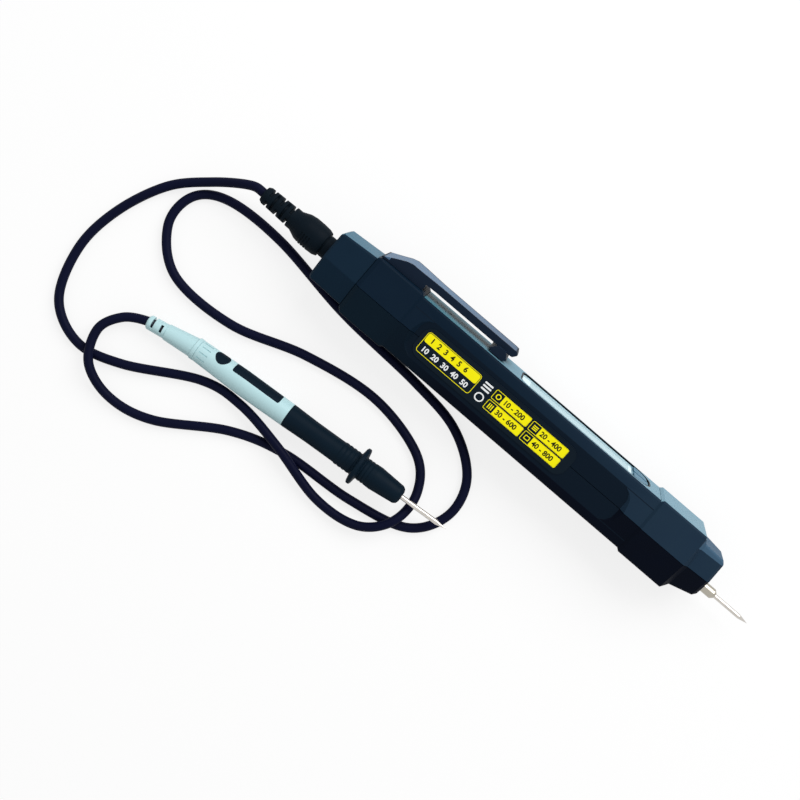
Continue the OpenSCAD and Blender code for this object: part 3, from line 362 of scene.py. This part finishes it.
# Painted shade: the cap's strip is a darker copy of the same grey.
cap_trim_painted_shade = moulded("moulded_abs_grey_cap_painted_shade", sheen, ("305d73", "38677d"), patch=0.03,
                           rough=(0.4, 0.5), grain=0.0006, depth=0.000005)
for node, plastic in (("rear_cap_trim", cap_trim_painted_shade), ("face_trim", trim_plastic),
                      ("nose_trim", trim_plastic)):
    dress(eased(node, 0.0002), plastic, "pen")


# Display. A black frame round a clear acrylic window with a pale printed border, over the
# liquid crystal panel.
window_start, window_end = 0.0861 + pen_x, 0.1393 + pen_x
window_half = 0.0079
border = 0.0026
window_cover = 0.85
border_tone = "c6e4ec"


def printed_border(tree, place, colour):
    """A pale opaque print round the window's edge. Inside it the window keeps its own colour,
    and the shader's alpha falls to window_cover, so the panel shows through a little."""
    pen = in_pen(tree, place)
    along = add(tree, "ShaderNodeMath", {"operation": "COMPARE"},
                {0: pen["X"], 1: (window_start + window_end) / 2 - pen_x,
                 2: (window_end - window_start) / 2 - border}).outputs[0]
    across = add(tree, "ShaderNodeMath", {"operation": "COMPARE"},
                 {0: pen["Z"], 1: 0.0, 2: window_half - border}).outputs[0]
    clear = add(tree, "ShaderNodeMath", {"operation": "MULTIPLY"}, {0: along, 1: across})
    alpha = add(tree, "ShaderNodeMapRange", None, {"Value": clear.outputs[0], "To Min": 1.0,
                                                   "To Max": window_cover})
    shader = next(n for n in tree.nodes if n.type == "BSDF_PRINCIPLED")
    tree.links.new(alpha.outputs["Result"], shader.inputs["Alpha"])
    return blended(tree, clear.outputs[0], border_tone, colour)


# The frame is a smooth black line round the window. The acrylic is polished, the clearest
# highlight on the pen. The panel under it is an even pale grey, like an unlit display.
frame_black = moulded("moulded_frame_black", satin, ("05070a", "0b0e12"), patch=0.02,
                      rough=(0.3, 0.4), grain=0.0006, depth=0.000004)
acrylic = moulded("acrylic_window", {"IOR": 1.49, "Specular IOR Level": 0.3},
                  ("a2cad4", "aad1db"), patch=0.02, rough=(0.08, 0.14), grain=0.002,
                  depth=0.000001, marks_and_painted_light=printed_border)
panel_grey = moulded("crystal_panel_grey", {"IOR": 1.5}, ("b7d3d8", "bedadf"), patch=0.02,
                     rough=(0.3, 0.4), grain=0.0006, depth=0.000003)
dress(nodes["display_bezel"], frame_black)
dress(nodes["display_window"], acrylic)
dress(nodes["lcd_module"], panel_grey)


# Circuit board and its parts. Green fibreglass board, steel key domes and a black buzzer.
# The board's green mask is glossy and mottled over its copper, the domes are bright brushed
# metal, and the buzzer is dull.
board_green = moulded("solder_mask_green", {"IOR": 1.5}, ("0f4a2c", "1a6b40"), patch=0.006,
                      rough=(0.25, 0.4), grain=0.0008, depth=0.00001)
dome_steel = moulded("stamped_steel", {"Metallic": 1.0}, ("b5b8ba", "c8cacc"), patch=0.004,
                     rough=(0.25, 0.4), grain=0.0004, depth=0.000004)
buzzer_black = moulded("moulded_buzzer_black", {"IOR": 1.5}, ("101214", "181a1c"), patch=0.006,
                       rough=(0.45, 0.6), grain=0.0004, depth=0.000008)
dress(nodes["circuit_board"], board_green)
dress(nodes["key_switches"], dome_steel)
dress(nodes["buzzer"], buzzer_black)


# Keys. Two grey caps side by side at the round end of the display frame.
# A little smoother than the trim, as if worn by thumbs, and darker, so they stand out from it.
key_plastic = moulded("moulded_key_grey", sheen, ("3a687f", "427188"), patch=0.01,
                      rough=(0.36, 0.46), grain=0.0004, depth=0.000006)
for node in ("function_key", "hold_key"):
    dress(eased(node, 0.0003), key_plastic, node)


# Label. A thin printed film in the side pocket: black, with yellow fields that carry plain
# numbers and marks. The prints are flat sheets laid on the film.
label_thickness = 0.00025
label_top = pocket_level + label_thickness
print_step = 0.00002
capital_height = 0.70
stroke_gain = 0.03

# The film is smooth and a little shinier than the pocket. The inks are flat and strong, with
# only a trace of tone, like screen print.
film_black = moulded("printed_film_black", {"IOR": 1.5, "Specular IOR Level": 0.06},
                     ("09141d", "0d1a25"), patch=0.01, rough=(0.35, 0.45), grain=0.0005,
                     depth=0.000003)
ink_yellow, ink_black, ink_white = [
    moulded("screen_ink_" + name, sheen, tones, patch=0.004, rough=(0.4, 0.5), grain=0.0003,
            depth=0.000002)
    for name, tones in (("yellow", ("f4ea06", "faf010")), ("black", ("0b1206", "141c0a")),
                        ("white", ("e6eaea", "f2f5f5")))]
dress(nodes["side_label"], film_black)


def on_label(points, layer):
    """Points in the plane of the label, along it and across it, in the object's frame."""
    points = np.asarray(points, dtype=float)
    level = label_top + layer * print_step
    return np.column_stack([
        points[:, 0] + pen_x,
        pen_y + points[:, 1] * math.cos(pen_turn) - level * math.sin(pen_turn),
        pen_height + points[:, 1] * math.sin(pen_turn) + level * math.cos(pen_turn)])


def round_box(start, end, low, high, radius, steps=6):
    """Outline of a rectangle with round corners, counterclockwise."""
    corners = [(end - radius, low + radius, -90), (end - radius, high - radius, 0),
               (start + radius, high - radius, 90), (start + radius, low + radius, 180)]
    angle = np.radians(np.linspace(0, 90, steps + 1))
    return np.vstack([np.column_stack([x + radius * np.cos(angle + math.radians(turn)),
                                       y + radius * np.sin(angle + math.radians(turn))])
                      for x, y, turn in corners])


def printed(name, ink, layer, shapes):
    """One sheet of print. Each shape is an outline, or a pair of outlines with a gap inside."""
    points, faces = [], []
    for shape in shapes:
        start = sum(len(p) for p in points)
        if isinstance(shape, tuple) and len(shape) == 2:
            outer, inner = shape
            n = len(outer)
            points += [outer, inner]
            faces += [[start + i, start + (i + 1) % n, start + n + (i + 1) % n, start + n + i]
                      for i in range(n)]
        else:
            points.append(shape)
            faces.append(list(range(start, start + len(shape))))
    piece = mesh_piece(name, on_label(np.vstack(points), layer), faces, smooth=False)
    dress(piece, ink, "pen")


def numerals(name, ink, layer, rows):
    """Plain numbers. Each row is its text, its start along the label, its base and height."""
    points, faces = [], []
    for text, start, base, height in rows:
        letters = bpy.data.curves.new(name, "FONT")
        letters.body = text
        letters.size = 1.0
        letters.offset = stroke_gain
        letters.resolution_u = 3
        holder = bpy.data.objects.new(name, letters)
        scene.collection.objects.link(holder)
        drawn = bpy.data.meshes.new_from_object(holder)
        corners = np.array([v.co[:2] for v in drawn.vertices])
        first = sum(len(p) for p in points)
        scale = height / capital_height
        points.append(corners * scale + [start, base])
        faces += [[first + i for i in f.vertices] for f in drawn.polygons]
        bpy.data.objects.remove(holder)
        bpy.data.curves.remove(letters)
        bpy.data.meshes.remove(drawn)
    piece = mesh_piece(name, on_label(np.vstack(points), layer), faces, smooth=False)
    dress(piece, ink, "pen")


def framed(start, end, low, high, radius, line):
    """The two outlines of a drawn frame with a line of the given width."""
    return (round_box(start, end, low, high, radius),
            round_box(start + line, end - line, low + line, high - line, radius - line))


# The badge, and four cells in two rows. Each cell has a sign at its start and a yellow field.
line = 0.00022
badge_start, badge_end, badge_low, badge_high = 0.0477, 0.0732, -0.0044, 0.00445
badge_split, badge_inset, badge_round = 0.0002, 0.00045, 0.0012
badge_field_round = 0.0008
cell_height, cell_round = 0.00415, 0.0006
cell_inset, cell_field_round = 0.0001, 0.0005
cells = [(start, end, low, low + cell_height) for low in (0.0003, -0.00445)
         for start, end in ((0.0802, 0.0970), (0.0978, 0.1148))]
sign_room = 0.0040
printed("label_frames", ink_yellow, 1,
        [framed(badge_start, badge_end, badge_low, badge_high, badge_round, line)]
        + [framed(*cell, cell_round, line) for cell in cells])
printed("label_fields", ink_yellow, 1,
        [round_box(badge_start + badge_inset, badge_end - badge_inset, badge_split,
                   badge_high - badge_inset, badge_field_round)]
        + [round_box(start + sign_room, end - cell_inset, low + cell_inset, high - cell_inset,
                     cell_field_round) for start, end, low, high in cells])

# Numbers: one pair in each cell, and a row in each half of the badge.
cell_texts = ("10 - 200", "20 - 400", "30 - 600", "40 - 800")
cell_text_start, cell_text_base, cell_text_height = 0.0048, 0.0011, 0.0020
badge_text_height = 0.0021
upper_start, upper_base = badge_start + 0.0025, 0.0012
lower_start, lower_base = badge_start + 0.0016, -0.0032
numerals("label_numbers", ink_black, 2,
         [(text, start + cell_text_start, low + cell_text_base, cell_text_height)
          for text, (start, end, low, high) in zip(cell_texts, cells)]
         + [("1  2  3  4  5  6", upper_start, upper_base, badge_text_height)])
numerals("label_digits", ink_white, 2,
         [("10  20  30  40  50", lower_start, lower_base, badge_text_height)])

# Signs: a ring, three lying bars, three standing bars and a small frame.
sign_middle, sign_half = 0.0022, 0.0011
bar_half, bar_round = 0.0002, 0.0001
lying_pitch, standing_pitch = 0.0007, 0.0008
ring_line = 0.0004
small_half, small_round, small_line = 0.0009, 0.0003, 0.0003
signs = []
for kind, (start, end, low, high) in enumerate(cells):
    x, y = start + sign_middle, (low + high) / 2
    if kind == 0:
        signs.append(framed(x - sign_half, x + sign_half, y - sign_half, y + sign_half,
                            sign_half, ring_line))
    elif kind == 1:
        signs += [round_box(x - sign_half, x + sign_half, y + s - bar_half, y + s + bar_half,
                            bar_round) for s in (-lying_pitch, 0.0, lying_pitch)]
    elif kind == 2:
        signs += [round_box(x + s - bar_half, x + s + bar_half, y - sign_half, y + sign_half,
                            bar_round) for s in (-standing_pitch, 0.0, standing_pitch)]
    else:
        signs.append(framed(x - sign_half, x + sign_half, y - small_half, y + small_half,
                            small_round, small_line))
printed("label_signs", ink_yellow, 1, signs)

# Three white bars over a white ring, between the badge and the cells.
mark_start, mark_end = 0.0751, 0.0788
mark_bar_half, mark_bar_round = 0.00035, 0.0002
mark_bar_places = (0.0036, 0.0023, 0.0010)
mark_ring_low, mark_ring_high = -0.0041, -0.0006
mark_ring_round, mark_ring_line = 0.0017, 0.0005
printed("label_bars", ink_white, 1,
        [round_box(mark_start, mark_end, y - mark_bar_half, y + mark_bar_half, mark_bar_round)
         for y in mark_bar_places]
        + [framed(mark_start, mark_end, mark_ring_low, mark_ring_high, mark_ring_round,
                  mark_ring_line)])


# Pocket clip. One springy black moulding on a hinge bar, with a wedge root, a flat bar and a
# bead at its free end, and a grey strip let into its top that wraps round its rear end.
# The clip has the halves' satin skin, a little bluer. Its strip has the trims' weak sheen and
# is painted darker towards its free end, a painted fall of light.
clip_plastic = moulded("moulded_abs_clip", satin, ("121d2c", "172232"), patch=0.012,
                       rough=(0.42, 0.56), grain=0.00035, depth=0.000012)
# Painted light: the strip darkens towards the clip's free end.
clip_trim_plastic = moulded("moulded_abs_grey_clip", sheen, ("486480", "506c88"), patch=0.03,
                            rough=(0.4, 0.5), grain=0.0006, depth=0.000005,
                            painted_light_run=(-0.045, -0.012, "38506a", "3f5771"))
dress(eased("pocket_clip", 0.0003), clip_plastic, "clip")
dress(eased("clip_inlay", 0.0002), clip_trim_plastic, "clip")


# Battery door, cells and contacts. The door hooks in at its rear end and has grip ribs.
# The door shares the back half's plastic and its painted shade. The cells have a glossy
# lacquered jacket, and the springs are bright nickel.
cell_jacket = moulded("lacquered_cell_jacket", {"IOR": 1.5}, ("8a6a1e", "a8842a"), patch=0.01,
                      rough=(0.25, 0.35), grain=0.001, depth=0.000004)
spring_nickel = moulded("nickelled_spring", {"Metallic": 1.0}, ("c4c6c4", "d6d8d6"),
                        patch=0.004, rough=(0.2, 0.3), grain=0.0005, depth=0.000004)
dress(eased("battery_door", 0.0002), back_plastic, "battery_door")
dress(nodes["battery_cells"], cell_jacket)
dress(nodes["battery_contacts"], spring_nickel)


# Housing screws. Four zinc-plated cross-head screws, sunk in the back half.
# Zinc plate is a duller, bluer metal than the nickel, with uneven shine.
screw_zinc = moulded("zinc_plated_steel", {"Metallic": 1.0}, ("9a9ea2", "b4b8bb"),
                     patch=0.003, rough=(0.3, 0.45), grain=0.0004, depth=0.000004)
dress(nodes["housing_screws"], screw_zinc)


# Tip. A nickelled ferrule holds the hardened needle in the back half, and a clear torch lamp
# sits over it in the front half.
# Warm grey nickel and ground steel, both smooth enough for a bright line along their length.
# The lamp is clear resin with a sharp highlight.
ferrule_nickel = moulded("nickelled_brass", {"Metallic": 1.0}, ("a39e92", "b6b1a6"),
                         patch=0.003, rough=(0.16, 0.26), grain=0.0005, depth=0.000004)
needle_steel = moulded("ground_steel", {"Metallic": 1.0}, ("b9b4ae", "d2cec8"), patch=0.003,
                       rough=(0.16, 0.26), grain=0.0003, depth=0.000003)
lamp_resin = moulded("clear_lamp_resin", {"IOR": 1.5, "Transmission Weight": 0.8},
                     ("e8eef2", "f2f6f8"), patch=0.01, rough=(0.05, 0.1), grain=0.002,
                     depth=0.000001)
dress(nodes["needle_ferrule"], ferrule_nickel)
dress(nodes["pen_needle"], needle_steel)
dress(nodes["torch_lamp"], lamp_resin)


# Socket and plug pin. Turned brass, the pin rounded at its end.
# A yellow metal with a soft shine, as turned and not polished.
turned_brass = moulded("turned_brass", {"Metallic": 1.0}, ("b08a45", "c49d56"), patch=0.003,
                       rough=(0.2, 0.3), grain=0.0004, depth=0.000004)
dress(nodes["lead_socket"], turned_brass)
dress(nodes["plug_pin"], turned_brass)


# Test probe. Pale grey boot, tail and handle with two black inlays, a black front grip with
# its finger guard, and a steel needle. The lead ends at the boot, whose core stands for it.
pale = {"IOR": 1.5, "Specular IOR Level": 0.25}
pale_tones = ("b0d2d7", "b8dade")
bare_radius = lead_diameter / 2 + 0.0001
inlay_rise = 0.00004


def dark_windows(tree, place, colour):
    """The lead's black on the boot's core, which its slots lay bare, round the tail's axis."""
    moved = add(tree, "ShaderNodeVectorMath", {"operation": "SUBTRACT"},
                {0: place, 1: tail_end.tolist()}).outputs["Vector"]
    away = add(tree, "ShaderNodeVectorMath", {"operation": "CROSS_PRODUCT"},
               {0: moved, 1: tail_way.tolist()}).outputs["Vector"]
    distance = add(tree, "ShaderNodeVectorMath", {"operation": "LENGTH"}, {0: away})
    bare = add(tree, "ShaderNodeMath", {"operation": "LESS_THAN"},
               {0: distance.outputs["Value"], 1: bare_radius})
    return blended(tree, bare.outputs[0], colour, lead_blacks[0])


# The pale plastic is the smoothest and glossiest of the mouldings, which makes it look hard.
# The grip is matt with a deep fine grain, which makes it look soft.
boot_plastic = moulded("moulded_vinyl_pale", pale, pale_tones, patch=0.02, rough=(0.3, 0.42),
                       grain=0.0005, depth=0.000005, marks_and_painted_light=dark_windows)
probe_plastic = moulded("moulded_abs_pale", pale, pale_tones, patch=0.02, rough=(0.3, 0.42),
                        grain=0.0005, depth=0.000005)
grip_vinyl = moulded("soft_grip_black", satin, ("091722", "0d1c28"), patch=0.008,
                     rough=(0.42, 0.56), grain=0.0004, depth=0.00002)
dress(eased("probe_boot", 0.0002), boot_plastic, "test_lead")
dress(eased("probe_tail", 0.00015), probe_plastic, "test_lead")
dress(nodes["probe_handle"], probe_plastic)
dress(nodes["probe_dot"], grip_vinyl)

# The long inlay is raised a little, clear of a thin film of the handle's skin.
bar = eased("probe_bar", 0.00004)
proud = bar.modifiers.new("stands proud", "DISPLACE")
proud.strength = inlay_rise
proud.mid_level = 0.0
dress(bar, grip_vinyl, "test_lead")
dress(eased("probe_front", 0.0002), grip_vinyl, "test_lead")
dress(nodes["probe_needle"], needle_steel)


# Table and lights. A white table that keeps a soft shadow, one large soft lamp on the side that
# the display looks to, and a white surround. Both look white to the camera and in reflections,
# and light the object less than that.
floor_half = 3.0
glow_share = 0.8
surround_light = 0.56
lamp_size, lamp_power = 0.8, 10.0
lamp_place = (0.15, 0.75, 0.75)
lamp_tilt, lamp_yaw = math.radians(-45), math.radians(-11)


def seen_rays(tree):
    """1 for rays from the camera, in reflections and through clear pieces, 0 for the others."""
    ray = add(tree, "ShaderNodeLightPath")
    seen = add(tree, "ShaderNodeMath", {"operation": "MAXIMUM"},
               {0: ray.outputs["Is Camera Ray"], 1: ray.outputs["Is Glossy Ray"]})
    return add(tree, "ShaderNodeMath", {"operation": "MAXIMUM"},
               {0: seen.outputs[0], 1: ray.outputs["Is Transmission Ray"]}).outputs[0]


# Matt white card, with part of its own light mixed in, so that the shadow stays faint.
floor = mesh_piece("table", [[-floor_half, -floor_half, 0], [floor_half, -floor_half, 0],
                             [floor_half, floor_half, 0], [-floor_half, floor_half, 0]],
                   [[0, 1, 2, 3]], smooth=False)
table, table_tree, table_shader, _ = start_material(
    "white_table", {"Roughness": 0.9, "Base Color": linear("f6f6f6"), "Specular IOR Level": 0.1})
glow = add(table_tree, "ShaderNodeEmission", None, {"Color": (1, 1, 1, 1), "Strength": 1.0})
share = add(table_tree, "ShaderNodeMath", {"operation": "MULTIPLY"},
            {0: seen_rays(table_tree), 1: glow_share})
both = add(table_tree, "ShaderNodeMixShader", None,
           {0: share.outputs[0], 1: table_shader.outputs[0], 2: glow.outputs[0]})
table_out = next(n for n in table_tree.nodes if n.type == "OUTPUT_MATERIAL")
table_tree.links.new(both.outputs[0], table_out.inputs["Surface"])
dress(floor, table)

world = bpy.data.worlds.new("surround")
world.use_nodes = True
scene.world = world
surround = world.node_tree
surround.nodes.clear()
strength = add(surround, "ShaderNodeMapRange", None,
               {"Value": seen_rays(surround), "To Min": surround_light, "To Max": 1.0})
sky = add(surround, "ShaderNodeBackground", None,
          {"Color": (1.0, 1.0, 1.0, 1.0), "Strength": strength.outputs["Result"]})
sky_out = add(surround, "ShaderNodeOutputWorld")
surround.links.new(sky.outputs["Background"], sky_out.inputs["Surface"])

lamp_data = bpy.data.lights.new("soft_lamp", "AREA")
lamp_data.shape = "SQUARE"
lamp_data.size = lamp_size
lamp_data.energy = lamp_power
lamp = bpy.data.objects.new("soft_lamp", lamp_data)
lamp.location = lamp_place
lamp.rotation_euler = (lamp_tilt, 0.0, lamp_yaw)
scene.collection.objects.link(lamp)
